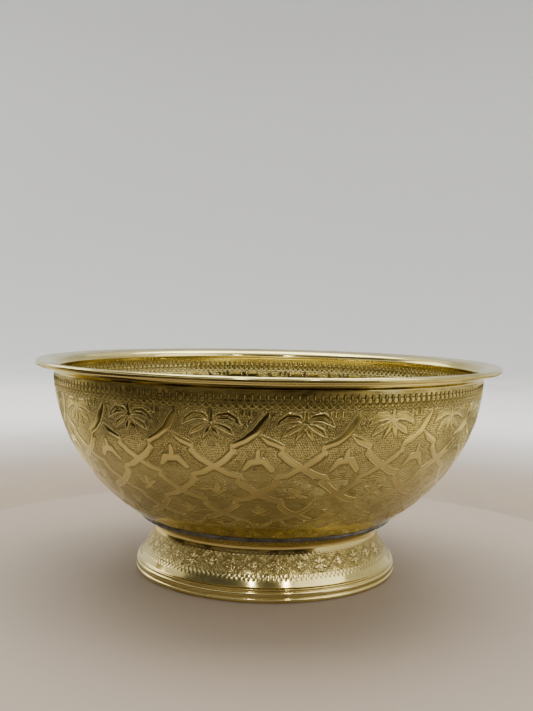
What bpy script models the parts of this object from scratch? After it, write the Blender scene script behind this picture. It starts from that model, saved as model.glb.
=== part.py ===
"""Footed brass bowl: a spun bowl with a wired lip, soldered to a spun foot with a wired hem.

Everything is turned about Z. The table is z = 0 and the bowl opens upwards.
"""

import math

import bpy

# Driving dimensions, in metres
RIM_RADIUS = 0.1525
RIM_HEIGHT = 0.1382
SHEET = 0.0008
GAP = 0.0003
RING_STEPS = 60

# Rolled lip: the sheet's centre line curls down, under and back around the lip wire
LIP_BEAD_RADIUS = 0.0018
LIP_WIRE_RADIUS = 0.0006
LIP_CURL_START = -180.0
CURL_STEP = 45.0
FLANGE_SLOPE = 10.0
NECK_RADIUS = 0.1395
THROAT_BEND = 0.0055
THROAT_STEPS = 4

# Body, as the sheet's centre line: radius = BELLY_RADIUS * (1 - u * u) ** FULLNESS,
# where u runs from 0 at the belly to 1 at the bottom of the bowl
BELLY_RADIUS = 0.1404
BELLY_HEIGHT = 0.1310
BODY_DEPTH = 0.1191
FULLNESS = 0.545
BODY_TOP = 0.1262
BODY_RINGS = 15

# Foot, as the sheet's outer face: a flange that lies under the bowl, a waist, a hollow flare,
# a ridge, a round band and a hem
FLANGE_RADIUS = 0.0830
WAIST_RADIUS = 0.0740
FLANGE_BEND = 0.0010
FLARE_TOP = 0.0288
FLARE_FOOT_RADIUS = 0.0846
FLARE_FOOT_HEIGHT = 0.0086
FLARE_POWER = 1.3
FLARE_RINGS = 5
RIDGE_RADIUS = 0.0854
RIDGE_HEIGHT = 0.0071
BAND_TOP_RADIUS = 0.0853
BAND_TOP_HEIGHT = 0.0062
BAND_FOOT_RADIUS = 0.0867
BAND_FOOT_HEIGHT = 0.0036
HEM_RADIUS = 0.0870
HEM_BEAD_RADIUS = 0.0016
HEM_WIRE_RADIUS = 0.0004
HEM_CURL_END = -202.5

# Solder fillet between the edge of the foot's flange and the bowl
SOLDER_REACH = 0.0012
SOLDER_DEPTH = 0.0008
SOLDER_BULGE = 0.66
WIRE_SIDES = 8

MERGE_DISTANCE = 0.00005


def polar(centre, radius, degrees):
    """Return the point at this angle on a circle in the radius-height plane."""
    angle = math.radians(degrees)
    return (centre[0] + radius * math.cos(angle), centre[1] + radius * math.sin(angle))


def arc(centre, radius, start, end, steps):
    """Return evenly spaced points on an arc, both ends included."""
    span = end - start
    return [polar(centre, radius, start + span * i / steps) for i in range(steps + 1)]


def body_radius(height):
    """Return the centre-line radius of the bowl's body at a height."""
    u = (BELLY_HEIGHT - height) / BODY_DEPTH
    return BELLY_RADIUS * (1.0 - u * u) ** FULLNESS


def body_height(radius):
    """Return the centre-line height of the bowl's body at a radius."""
    return BELLY_HEIGHT - BODY_DEPTH * math.sqrt(1.0 - (radius / BELLY_RADIUS) ** (1.0 / FULLNESS))


def under_body(radius, distance, along=0.0):
    """Return the point at a distance below the body's centre line, shifted along its slope."""
    power = (radius / BELLY_RADIUS) ** (1.0 / FULLNESS)
    slope = BODY_DEPTH * power / (2.0 * FULLNESS * radius * math.sqrt(1.0 - power))
    length = math.hypot(1.0, slope)
    tangent = (1.0 / length, slope / length)
    return (
        radius + along * tangent[0] + distance * tangent[1],
        body_height(radius) + along * tangent[1] - distance * tangent[0],
    )


def lip_centre():
    """Return the centre of the lip bead, which is the lip wire's centre too."""
    return (RIM_RADIUS - LIP_BEAD_RADIUS, RIM_HEIGHT - LIP_BEAD_RADIUS)


def bowl_profile():
    """Return the bowl's centre line, from the tucked edge of its lip to its lowest point."""
    bead = lip_centre()
    curl = LIP_BEAD_RADIUS - SHEET / 2.0
    tangent_angle = 90.0 + FLANGE_SLOPE
    slope = math.radians(FLANGE_SLOPE)
    throat_radius = NECK_RADIUS + THROAT_BEND
    drop = (bead[0] - throat_radius) * math.tan(slope) + (THROAT_BEND - curl) / math.cos(slope)
    throat = (throat_radius, bead[1] - drop)
    curl_steps = round((tangent_angle - LIP_CURL_START) / CURL_STEP)
    points = arc(bead, curl, LIP_CURL_START, tangent_angle, curl_steps)
    points += arc(throat, THROAT_BEND, tangent_angle, 180.0, THROAT_STEPS)
    # Equal turns from the top of the body crowd its rings towards the bottom
    quarter = math.radians(90.0)
    first_turn = math.asin((BELLY_HEIGHT - BODY_TOP) / BODY_DEPTH)
    for ring in range(BODY_RINGS):
        turn = first_turn + (quarter - first_turn) * ring / BODY_RINGS
        height = BELLY_HEIGHT - BODY_DEPTH * math.sin(turn)
        points.append((body_radius(height), height))
    points.append((0.0, BELLY_HEIGHT - BODY_DEPTH))
    return points


def flare_radius(height):
    """Return the outer radius of the foot's hollow flare at a height."""
    fall = (FLARE_TOP - height) / (FLARE_TOP - FLARE_FOOT_HEIGHT)
    return WAIST_RADIUS + (FLARE_FOOT_RADIUS - WAIST_RADIUS) * fall**FLARE_POWER


def hem_centre():
    """Return the centre of the foot's hem; one side of its curl lies flat on the table."""
    flat = HEM_BEAD_RADIUS * math.cos(math.radians(CURL_STEP / 2.0))
    return (HEM_RADIUS - HEM_BEAD_RADIUS, flat)


def foot_profile():
    """Return the foot's outer face, from the edge of its flange down to its tucked hem."""
    below = SHEET / 2.0 + GAP + SHEET
    bend_radius = WAIST_RADIUS + FLANGE_BEND
    bend = under_body(bend_radius, below)
    points = [
        under_body(FLANGE_RADIUS, below),
        under_body((FLANGE_RADIUS + bend_radius) / 2.0, below),
        bend,
        (WAIST_RADIUS, bend[1] - FLANGE_BEND),
    ]
    for ring in range(FLARE_RINGS):
        fall = (FLARE_TOP - FLARE_FOOT_HEIGHT) * ring / (FLARE_RINGS - 1)
        height = FLARE_TOP - fall
        points.append((flare_radius(height), height))
    points.append((RIDGE_RADIUS, RIDGE_HEIGHT))
    points.append((BAND_TOP_RADIUS, BAND_TOP_HEIGHT))
    points.append((BAND_FOOT_RADIUS, BAND_FOOT_HEIGHT))
    curl_start = CURL_STEP / 2.0
    curl_steps = round((curl_start - HEM_CURL_END) / CURL_STEP)
    points += arc(hem_centre(), HEM_BEAD_RADIUS, curl_start, HEM_CURL_END, curl_steps)
    return points


def solder_profile():
    """Return the solder fillet's closed section, down its outer side and back to its start."""
    near = SHEET / 2.0 + GAP
    bulge_depth = near + SOLDER_DEPTH * SOLDER_BULGE
    bulge_reach = GAP + SOLDER_REACH * SOLDER_BULGE
    toe = under_body(FLANGE_RADIUS, near, GAP + SOLDER_REACH)
    return [
        toe,
        under_body(FLANGE_RADIUS, bulge_depth, bulge_reach),
        under_body(FLANGE_RADIUS, near + SOLDER_DEPTH, GAP),
        under_body(FLANGE_RADIUS, near, GAP),
        toe,
    ]


def make_material(name, colour, roughness, metallic):
    """Return a Principled material."""
    material = bpy.data.materials.new(name)
    material.use_nodes = True
    shader = material.node_tree.nodes["Principled BSDF"]
    shader.inputs["Base Color"].default_value = (*colour, 1.0)
    shader.inputs["Roughness"].default_value = roughness
    shader.inputs["Metallic"].default_value = metallic
    return material


def add_turned(collection, name, profile, material):
    """Turn a profile about Z, with its points joined in order."""
    edges = [(i, i + 1) for i in range(len(profile) - 1)]
    mesh = bpy.data.meshes.new(name)
    mesh.from_pydata([(radius, 0.0, height) for radius, height in profile], edges, [])
    mesh.materials.append(material)
    turned = bpy.data.objects.new(name, mesh)
    collection.objects.link(turned)
    screw = turned.modifiers.new("turn", "SCREW")
    screw.axis = "Z"
    screw.angle = math.tau
    screw.steps = RING_STEPS
    screw.render_steps = RING_STEPS
    screw.use_merge_vertices = True
    screw.merge_threshold = MERGE_DISTANCE
    screw.use_smooth_shade = True
    return turned


def add_sheet(collection, name, profile, material, offset):
    """Turn a profile into sheet; it is the centre line at offset 0, the outer face at -1."""
    turned = add_turned(collection, name, profile, material)
    sheet = turned.modifiers.new("sheet", "SOLIDIFY")
    sheet.thickness = SHEET
    sheet.offset = offset
    sheet.use_even_offset = True
    return turned


def add_wire(collection, name, centre, radius, material):
    """Add a ring of wire whose centre line passes through this radius and height."""
    bpy.ops.mesh.primitive_torus_add(
        major_segments=RING_STEPS,
        minor_segments=WIRE_SIDES,
        major_radius=centre[0],
        minor_radius=radius,
        location=(0.0, 0.0, centre[1]),
    )
    wire = bpy.context.object
    wire.name = name
    wire.data.name = name
    wire.data.materials.append(material)
    wire.data.shade_smooth()
    for holder in wire.users_collection:
        holder.objects.unlink(wire)
    collection.objects.link(wire)
    return wire


def main():
    """Build the bowl's pieces in one collection under one empty."""
    for old in list(bpy.data.objects):
        bpy.data.objects.remove(old)
    collection = bpy.data.collections.new("footed_brass_bowl")
    bpy.context.scene.collection.children.link(collection)

    body_brass = make_material("body_brass", (0.58, 0.44, 0.15), 0.32, 1.0)
    foot_brass = make_material("foot_brass", (0.64, 0.52, 0.24), 0.28, 1.0)
    lip_steel = make_material("lip_wire_steel", (0.42, 0.41, 0.39), 0.45, 1.0)
    hem_steel = make_material("hem_wire_steel", (0.40, 0.39, 0.37), 0.48, 1.0)
    solder_grey = make_material("solder_grey", (0.40, 0.43, 0.47), 0.42, 1.0)

    pieces = [
        add_sheet(collection, "bowl", bowl_profile(), body_brass, 0.0),
        add_wire(collection, "lip_wire", lip_centre(), LIP_WIRE_RADIUS, lip_steel),
        add_sheet(collection, "foot", foot_profile(), foot_brass, -1.0),
        add_wire(collection, "hem_wire", hem_centre(), HEM_WIRE_RADIUS, hem_steel),
        add_turned(collection, "solder_seam", solder_profile(), solder_grey),
    ]
    axis = bpy.data.objects.new("bowl_axis", None)
    collection.objects.link(axis)
    for piece in pieces:
        piece.parent = axis


main()
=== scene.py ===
"""Footed brass bowl: the finished surfaces of the bowl, its foot and its solder seam, and a studio.

Everything is turned about Z and stands on z = 0. Angles around the bowl start at its front, -Y.
Lengths in the chasing's layout are millimetres on the surface; everything else is metres.
"""

import math

import bpy
import numpy as np
from mathutils import Euler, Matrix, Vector


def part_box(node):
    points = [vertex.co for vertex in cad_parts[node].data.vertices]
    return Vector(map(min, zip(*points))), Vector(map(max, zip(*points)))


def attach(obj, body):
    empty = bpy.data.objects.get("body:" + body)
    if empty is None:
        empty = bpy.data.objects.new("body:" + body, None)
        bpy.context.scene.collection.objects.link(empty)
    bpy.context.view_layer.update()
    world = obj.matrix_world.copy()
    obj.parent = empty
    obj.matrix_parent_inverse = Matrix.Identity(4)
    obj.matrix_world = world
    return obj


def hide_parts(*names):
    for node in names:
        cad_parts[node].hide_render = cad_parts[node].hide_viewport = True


bl_info = {
    "name": "Footed brass bowl",
    "version": (1, 0, 0),
    "blender": (4, 5, 0),
    "location": "3D View > Sidebar > Brass Bowl",
    "description": "Makes the chased brass bowl, its foot, its solder seam and a studio to see them in",
    "category": "Object",
}

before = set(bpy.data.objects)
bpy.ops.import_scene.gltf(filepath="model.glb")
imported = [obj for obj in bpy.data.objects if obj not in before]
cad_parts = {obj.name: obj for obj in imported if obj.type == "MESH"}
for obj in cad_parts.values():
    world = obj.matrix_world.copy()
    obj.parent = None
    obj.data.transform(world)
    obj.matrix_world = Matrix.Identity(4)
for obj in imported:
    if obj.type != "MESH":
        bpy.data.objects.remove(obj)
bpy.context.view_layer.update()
BOWL_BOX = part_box("bowl")
FOOT_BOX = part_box("foot")

MM = 0.001
BODY = "root"

# Where each band of the chasing lies, as heights in mm
TONGUE_TOP = 128.5
TONGUE_FOOT = 124.8
DOME_HEIGHT = 125.1
DOME_RADIUS = 1.6
SCALLOP_LINES = (122.0, 120.6)
SCALLOP_RISES = (2.7, 1.3)
PALMETTE_HEIGHT = 113.8
NODE_HEIGHTS = (107.4, 89.0, 73.0, 59.0)
FESTOON_TOP = 54.0
GROUND_FOOT = 47.0
CHASING_FOOT = 45.0

# How far a distance is followed before it stops mattering, in mm
FAR = 6.0
TINY = 1e-9

# Teardrops, domes and scallops of the tongue border, in mm; the swell sets where a tear is widest
TEAR_HALF_WIDTH = 0.62
TEAR_SWELL = 0.8
TEAR_RISE = 0.26
DOME_RISE = 0.12
SCALLOP_RISE = 0.15

# Hand irregularities: drift of the strokes in mm, turn of the pattern, and uneven panel widths
HAND_DRIFT = 0.35
PANEL_TURN = math.radians(8.0)
PANEL_PULL = math.radians(1.1)

# Share of the relief left on the lower body, and the heights in mm between which it grows to all
LIGHT_CHASING = 0.4
FIRM_HEIGHTS = (78.0, 96.0)

# Relief of the chasing in mm, and how far a strap's outline lies beyond its edge
GRAIN_RISE = 0.05
STRAP_CROWN = 0.12
EDGE_CUT = 0.08
EDGE_CUT_AWAY = 0.6
LINE_CUT = 0.08
BEAD_RISE = 0.16


# ---------------------------------------------------------------- sizes and colours


class BOWL_PG_sizes(bpy.types.PropertyGroup):
    """Sizes of the turned pieces."""

    rim_radius: bpy.props.FloatProperty(
        name="Rim radius", description="Outside radius of the rolled lip",
        default=BOWL_BOX[1].x, unit="LENGTH", subtype="DISTANCE")
    rim_height: bpy.props.FloatProperty(
        name="Rim height", description="Top of the rolled lip above the table",
        default=BOWL_BOX[1].z, unit="LENGTH", subtype="DISTANCE")
    sheet: bpy.props.FloatProperty(
        name="Sheet", description="Thickness of the spun brass",
        default=0.0008, unit="LENGTH", subtype="DISTANCE")
    lip_bead: bpy.props.FloatProperty(
        name="Lip bead", description="Outside radius of the rolled lip's bead",
        default=0.0018, unit="LENGTH", subtype="DISTANCE")
    neck_radius: bpy.props.FloatProperty(
        name="Neck radius",
        description="Radius of the sheet's centre line where it turns out into the flange",
        default=0.1395, unit="LENGTH", subtype="DISTANCE")
    throat_bend: bpy.props.FloatProperty(
        name="Throat bend", description="Bend radius between the body and the flange",
        default=0.0055, unit="LENGTH", subtype="DISTANCE")
    flange_slope: bpy.props.FloatProperty(
        name="Flange slope", description="How steeply the flange rises to the lip",
        default=math.radians(10.0), unit="ROTATION", subtype="ANGLE")
    belly_radius: bpy.props.FloatProperty(
        name="Belly radius", description="Radius of the sheet's centre line at the belly",
        default=0.1404, unit="LENGTH", subtype="DISTANCE")
    belly_height: bpy.props.FloatProperty(
        name="Belly height", description="Height of the belly above the table",
        default=0.1310, unit="LENGTH", subtype="DISTANCE")
    body_depth: bpy.props.FloatProperty(
        name="Body depth", description="Height from the bottom of the bowl to its belly",
        default=0.1191, unit="LENGTH", subtype="DISTANCE")
    fullness: bpy.props.FloatProperty(
        name="Fullness", description="0.5 is an ellipse and more is slacker", default=0.545)
    foot_radius: bpy.props.FloatProperty(
        name="Foot radius", description="Outside radius of the foot's hem",
        default=FOOT_BOX[1].x, unit="LENGTH", subtype="DISTANCE")
    waist_radius: bpy.props.FloatProperty(
        name="Waist radius", description="Radius of the foot's waist",
        default=0.0740, unit="LENGTH", subtype="DISTANCE")
    flange_radius: bpy.props.FloatProperty(
        name="Foot flange radius", description="Radius of the foot's flange under the bowl",
        default=0.0830, unit="LENGTH", subtype="DISTANCE")
    hem_bead: bpy.props.FloatProperty(
        name="Hem bead", description="Outside radius of the foot's hem bead",
        default=0.0016, unit="LENGTH", subtype="DISTANCE")
    gap: bpy.props.FloatProperty(
        name="Gap", description="Space between the bowl, its solder and its foot",
        default=0.0003, unit="LENGTH", subtype="DISTANCE")


class BOWL_PG_chasing(bpy.types.PropertyGroup):
    """How the surface is chased."""

    panels: bpy.props.IntProperty(
        name="Panels", description="Repeats of the strapwork around the body", default=18)
    tongues: bpy.props.IntProperty(
        name="Tongues", description="Tongues in the border under the lip", default=216)
    tongue_columns: bpy.props.IntProperty(
        name="Columns a tongue", description="Mesh columns across one tongue", default=6)
    row_step: bpy.props.FloatProperty(
        name="Row step", description="Height of one mesh row of the chased body",
        default=0.00072, unit="LENGTH", subtype="DISTANCE")
    ground_depth: bpy.props.FloatProperty(
        name="Ground depth", description="How far the stippled ground is beaten down",
        default=0.00016, unit="LENGTH", subtype="DISTANCE")
    wobble: bpy.props.FloatProperty(
        name="Wobble", description="Unevenness left in the sheet by hand work",
        default=0.00018, unit="LENGTH", subtype="DISTANCE")
    show_through: bpy.props.FloatProperty(
        name="Show through", description="Share of the chasing that shows inside the bowl",
        default=0.55, subtype="FACTOR")
    seed: bpy.props.IntProperty(name="Seed", description="Seed of the hand irregularities", default=11)


class BOWL_PG_colours(bpy.types.PropertyGroup):
    """Colours of the metals and of the studio."""

    brass: bpy.props.FloatVectorProperty(
        name="Brass", description="Polished brass", size=3, subtype="COLOR", default=(0.71, 0.605, 0.24))
    deep_brass: bpy.props.FloatVectorProperty(
        name="Deep brass", description="Brass where it is a little tarnished",
        size=3, subtype="COLOR", default=(0.50, 0.412, 0.15))
    foot_brass: bpy.props.FloatVectorProperty(
        name="Foot brass", description="Paler polished brass of the foot",
        size=3, subtype="COLOR", default=(0.71, 0.59, 0.24))
    deep_foot_brass: bpy.props.FloatVectorProperty(
        name="Deep foot brass", description="The foot's brass where it is a little tarnished",
        size=3, subtype="COLOR", default=(0.54, 0.42, 0.13))
    patina: bpy.props.FloatVectorProperty(
        name="Patina", description="Dark patina left in the cuts",
        size=3, subtype="COLOR", default=(0.10, 0.07, 0.03))
    solder: bpy.props.FloatVectorProperty(
        name="Solder", description="Soft solder", size=3, subtype="COLOR", default=(0.21, 0.215, 0.225))
    steel: bpy.props.FloatVectorProperty(
        name="Steel", description="Edge wires", size=3, subtype="COLOR", default=(0.42, 0.41, 0.39))
    floor: bpy.props.FloatVectorProperty(
        name="Floor", description="Studio floor", size=3, subtype="COLOR", default=(0.345, 0.275, 0.205))
    backdrop: bpy.props.FloatVectorProperty(
        name="Backdrop", description="Studio backdrop", size=3, subtype="COLOR", default=(0.90, 0.90, 0.885))


def sizes():
    """Return the piece sizes held by the scene."""
    return bpy.context.scene.bowl_sizes


def chasing():
    """Return the chasing settings held by the scene."""
    return bpy.context.scene.bowl_chasing


def colours():
    """Return the colours held by the scene."""
    return bpy.context.scene.bowl_colours


# ---------------------------------------------------------------- profiles


def smooth_step(low, high, value):
    """Return 0 below low, 1 above high and a smooth ramp between them."""
    share = np.clip((value - low) / (high - low), 0.0, 1.0)
    return share * share * (3.0 - 2.0 * share)


def arc_rows(centre, radius, start, end, count, side=1.0):
    """Return (radius, height, normal) rows on an arc given in degrees; side -1 faces its centre."""
    rows = []
    for angle in np.radians(np.linspace(start, end, count)):
        across, up = math.cos(angle), math.sin(angle)
        rows.append((centre[0] + radius * across, centre[1] + radius * up, side * across, side * up))
    return rows


def line_rows(start, end, count, normal):
    """Return rows evenly spaced between two points, without the points themselves."""
    rows = []
    for share in np.linspace(0.0, 1.0, count + 2)[1:-1]:
        rows.append((
            start[0] + (end[0] - start[0]) * share,
            start[1] + (end[1] - start[1]) * share,
            *normal,
        ))
    return rows


class BodyCurve:
    """The body's centre line, as a table that turns heights and surface distances into points."""

    def __init__(self, s):
        self.turn = np.linspace(0.0, math.pi / 2.0, 4001)
        self.radius = s.belly_radius * np.cos(self.turn) ** (2.0 * s.fullness)
        self.height = s.belly_height - s.body_depth * np.sin(self.turn)
        steps = np.hypot(np.diff(self.radius), np.diff(self.height))
        self.down = np.concatenate(([0.0], np.cumsum(steps)))

    def down_at(self, height):
        """Return the distance along the surface from the belly down to a height."""
        return float(np.interp(-height, -self.height, self.down))

    def row(self, down, offset):
        """Return the (radius, height, normal) row at a distance down, offset outwards."""
        radius = np.interp(down, self.down, self.radius)
        height = np.interp(down, self.down, self.height)
        step = self.down[-1] / 2000.0
        low, high = max(down - step, 0.0), min(down + step, self.down[-1])
        across = np.interp(high, self.down, self.radius) - np.interp(low, self.down, self.radius)
        fall = np.interp(high, self.down, self.height) - np.interp(low, self.down, self.height)
        length = math.hypot(across, fall)
        normal = (-fall / length, across / length)
        return (radius + offset * normal[0], height + offset * normal[1], *normal)


# ---------------------------------------------------------------- hand irregularities


class Waves:
    """Smooth seamless noise around the bowl: a sum of waves with whole numbers of crests around."""

    def __init__(self, seed, count, crests, crests_down):
        draw = np.random.default_rng(seed)
        self.around = draw.integers(-crests, crests + 1, count)
        self.down = draw.uniform(-crests_down, crests_down, count)
        self.phase = draw.uniform(0.0, math.tau, count)

    def __call__(self, angle, down):
        """Return values of about -1 to 1 at angles (radians) and distances down (mm)."""
        total = np.zeros(np.broadcast(angle, down).shape)
        for around, rate, phase in zip(self.around, self.down, self.phase):
            total += np.cos(around * angle + rate * down + phase)
        return total / math.sqrt(len(self.phase) * 1.5)


# ---------------------------------------------------------------- chasing layout


def stroke(*points):
    """Return a stroke: points of (across, up, half width), in mm, joined in order."""
    return list(points)


def placed(strokes, across, down, scale=1.0, mirror=False):
    """Return strokes moved to a place on the surface, with up turned into distance down."""
    sign = -1.0 if mirror else 1.0
    return [
        [(across + sign * x * scale, down - y * scale, w * scale) for x, y, w in points]
        for points in strokes
    ]


def both_sides(strokes):
    """Return strokes and their mirror images."""
    return strokes + [[(-x, y, w) for x, y, w in points] for points in strokes]


def ring(across, up, radius, width, start=0.0, end=360.0, steps=10):
    """Return a stroke bent to an arc."""
    points = []
    for angle in np.radians(np.linspace(start, end, steps + 1)):
        points.append((across + radius * math.cos(angle), up + radius * math.sin(angle), width))
    return points


def spiral(across, up, radius, turns, width, start=0.0, sign=1.0, steps=14):
    """Return a stroke that winds in to a scroll's eye."""
    points = []
    for share in np.linspace(0.0, 1.0, steps + 1):
        angle = math.radians(start) + sign * share * turns * math.tau
        reach = radius * (1.0 - 0.82 * share)
        points.append((across + reach * math.cos(angle), up + reach * math.sin(angle), width))
    return points


def palmette_petals():
    """Return the petals that fan from a palmette's hub."""
    return both_sides([
        stroke((0.8, 0.6, 0.7), (4.4, 2.6, 1.9), (9.0, 2.6, 2.4), (13.0, 0.2, 1.7), (15.8, -2.8, 0.3)),
        stroke((0.8, -0.8, 0.5), (4.8, -2.8, 1.5), (8.8, -5.2, 1.7), (11.8, -8.2, 0.3)),
        stroke((0.4, -1.8, 0.4), (2.4, -5.6, 1.3), (4.4, -9.8, 0.3)),
    ])


def palmette_lines():
    """Return the thin cuts on and around a palmette."""
    return both_sides([
        stroke((1.6, 1.0, 0.0), (5.2, 2.7, 0.0), (9.0, 2.6, 0.0), (12.8, 0.0, 0.0)),
        stroke((2.2, -1.8, 0.0), (5.8, -3.6, 0.0), (9.4, -6.2, 0.0)),
        stroke((3.6, 5.6, 0.0), (7.8, 6.8, 0.0), (13.0, 5.2, 0.0), (16.6, 1.6, 0.0)),
        stroke((-1.7, -11.6, 0.0), (1.7, -11.6, 0.0)),
        stroke((-1.7, -13.0, 0.0), (1.7, -13.0, 0.0)),
        stroke((-1.7, -14.4, 0.0), (1.7, -14.4, 0.0)),
        spiral(7.2, -11.4, 2.8, 1.4, 0.0, 150.0),
    ])


def bell_shapes():
    """Return the bell that hangs from a crossing: its stem and its flat-topped skirt."""
    return [
        stroke((0.2, 8.2, 1.0), (0.0, 3.4, 1.2)),
        stroke((-8.0, -4.0, 0.9), (-4.2, 1.4, 2.0), (3.4, 1.6, 2.0), (7.8, -4.0, 1.4)),
    ]


def bell_lines():
    """Return the thin cuts around a bell."""
    return [
        ring(-11.4, 3.0, 2.4, 0.0, 100.0, 330.0),
        ring(11.4, 3.0, 2.4, 0.0, -150.0, 80.0),
        ring(0.0, -4.6, 3.4, 0.0, 20.0, 160.0),
        ring(0.0, -4.6, 1.9, 0.0, 0.0, 180.0),
        spiral(-4.6, 6.6, 2.4, 1.3, 0.0, -20.0, -1.0),
        spiral(4.6, 6.6, 2.4, 1.3, 0.0, 200.0),
    ]


def leaf_shapes():
    """Return a small spray of three leaves."""
    return [
        stroke((0.0, 7.4, 0.2), (0.0, 3.4, 1.5), (0.0, -1.0, 0.5)),
        stroke((-7.4, 3.0, 0.2), (-4.0, 1.6, 1.4), (-0.4, -1.6, 0.5)),
        stroke((7.4, 3.0, 0.2), (4.0, 1.6, 1.4), (0.4, -1.6, 0.5)),
        stroke((-5.6, -4.2, 0.2), (-3.0, -3.8, 1.1), (0.0, -2.2, 0.5)),
        stroke((5.6, -4.2, 0.2), (3.0, -3.8, 1.1), (0.0, -2.2, 0.5)),
    ]


def crossing_straps():
    """Return the two straps that cross at a node, each from one fret step to the next."""
    strap = stroke(
        (-11.6, 8.0, 1.9), (-7.6, 4.2, 1.9), (-3.6, 1.2, 1.9),
        (1.5, -1.9, 1.9), (7.7, -5.2, 1.9), (13.0, -6.9, 1.7),
    )
    horn = stroke((-11.8, 8.2, 1.2), (-10.6, 11.6, 0.5))
    toe = stroke((12.6, -7.0, 1.0), (15.8, -9.4, 0.6))
    return both_sides([strap, horn, toe])


def top_straps():
    """Return the straps of the first crossing: one runs up to a point and the other is cut short."""
    return [
        stroke((4.8, 12.8, 0.15), (3.8, 9.8, 1.5), (1.5, 6.0, 2.1), (-1.4, 1.0, 2.2),
               (-6.6, -3.8, 2.0), (-12.4, -6.9, 1.9)),
        stroke((1.2, -0.6, 0.4), (6.4, -4.6, 1.9), (12.6, -7.6, 1.8)),
    ]


def festoon(across, level, count):
    """Return the slanted beads that follow one hanging swag of the lower border, in two rows."""
    beads = []
    half = 8.4
    for share in np.linspace(-1.0, 1.0, count):
        x = across + share * half
        y = level + 6.4 * (1.0 - share * share)
        lean = 0.5 * share
        beads.append([(x - lean, y - 0.45, 0.0), (x + lean, y + 0.45, 0.0)])
        beads.append([(x - lean, y + 1.7, 0.0), (x + lean, y + 2.6, 0.0)])
    return beads


def body_layout(curve, panel):
    """Return (shapes, petals, lines, beads) of one panel: strokes of (across, down, half width) in mm."""
    down = [curve.down_at(height * MM) / MM for height in NODE_HEIGHTS]
    hub = curve.down_at(PALMETTE_HEIGHT * MM) / MM
    swag = curve.down_at(FESTOON_TOP * MM) / MM
    half = panel / 2.0
    shapes = placed(top_straps(), half, down[0])
    shapes += placed(crossing_straps(), 0.0, down[1])
    shapes += placed(crossing_straps(), half, down[2])
    shapes += placed(crossing_straps(), 0.0, down[3], 0.9)
    shapes += [[(0.0, hub, 0.9), (0.0, hub - 6.4, 1.0)]]
    for across in (-11.0, -8.2, -4.6, 4.6):
        shapes += placed([stroke((across, 13.2, 0.75), (across, 9.6, 0.75))], half, down[0])
    shapes += placed(bell_shapes(), half, (down[0] + down[2]) / 2.0 - 1.0)
    petals = placed(palmette_petals(), 0.0, hub)
    petals += placed(leaf_shapes(), 0.0, (down[1] + down[3]) / 2.0, 0.95)
    petals += placed(leaf_shapes(), half, down[2] + 17.0, 0.8)
    lines = placed(palmette_lines(), 0.0, hub)
    lines += placed(bell_lines(), half, (down[0] + down[2]) / 2.0 - 1.0)
    lines += placed([spiral(-9.0, 3.0, 2.6, 1.3, 0.0, 0.0), spiral(9.0, 3.0, 2.6, 1.3, 0.0, 180.0, -1.0)],
                    0.0, (down[1] + down[3]) / 2.0 + 6.0)
    beads = festoon(0.0, swag, 11) + festoon(half, swag, 11)
    return shapes, petals, lines, beads


def stroke_distance(across, down, stretch, strokes, panel):
    """Return the distance in mm from each point of a grid of rows to the nearest stroke's edge."""
    found = np.full(across.shape, FAR)
    row_low, row_high = down.min(axis=1), down.max(axis=1)
    for points in strokes:
        for (x0, y0, w0), (x1, y1, w1) in zip(points, points[1:]):
            low, high = min(y0, y1) - FAR, max(y0, y1) + FAR
            rows = np.nonzero((row_high > low) & (row_low < high))[0]
            if not len(rows):
                continue
            pick = slice(rows[0], rows[-1] + 1)
            narrow = stretch[pick]
            dx = ((across[pick] - x0 + panel / 2.0) % panel - panel / 2.0) * narrow
            dy = down[pick] - y0
            ex, ey = (x1 - x0) * narrow, y1 - y0
            share = np.clip((dx * ex + dy * ey) / (ex * ex + ey * ey + TINY), 0.0, 1.0)
            reach = np.hypot(dx - share * ex, dy - share * ey) - (w0 + (w1 - w0) * share)
            found[pick] = np.minimum(found[pick], reach)
    return found


def groove(distance, width):
    """Return the share of a cut's depth at a distance from its middle, both in mm."""
    return np.exp(-((distance / width) ** 2))


def raised(low, high, distance):
    """Return 1 nearer than low and 0 beyond high."""
    return 1.0 - smooth_step(low, high, distance)


def tongue_relief(angle, height, tongues, pitch):
    """Return the border's relief in mm: a teardrop at each whole phase, a dome and scallops between."""
    phase = (angle * tongues / math.tau) % 1.0
    side = np.minimum(phase, 1.0 - phase)
    fall = np.clip((TONGUE_TOP - height) / (TONGUE_TOP - TONGUE_FOOT), 0.0, 1.0)
    drop = side * pitch - TEAR_HALF_WIDTH * np.sin(math.pi * fall ** TEAR_SWELL)
    relief = TEAR_RISE * raised(-0.3, 0.3, drop) * (fall > 0.0) * (fall < 1.0)
    reach = np.hypot((0.5 - side) * pitch, height - DOME_HEIGHT) / DOME_RADIUS
    relief += DOME_RISE * raised(0.6, 1.0, reach)
    first = SCALLOP_LINES[0] + SCALLOP_RISES[0] * (1.0 - 2.0 * side) ** 2
    second = SCALLOP_LINES[1] + SCALLOP_RISES[1] * (2.0 * side) ** 2
    for curve in (first, second):
        relief += SCALLOP_RISE * raised(0.1, 0.5, np.abs(height - curve))
    return relief


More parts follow.
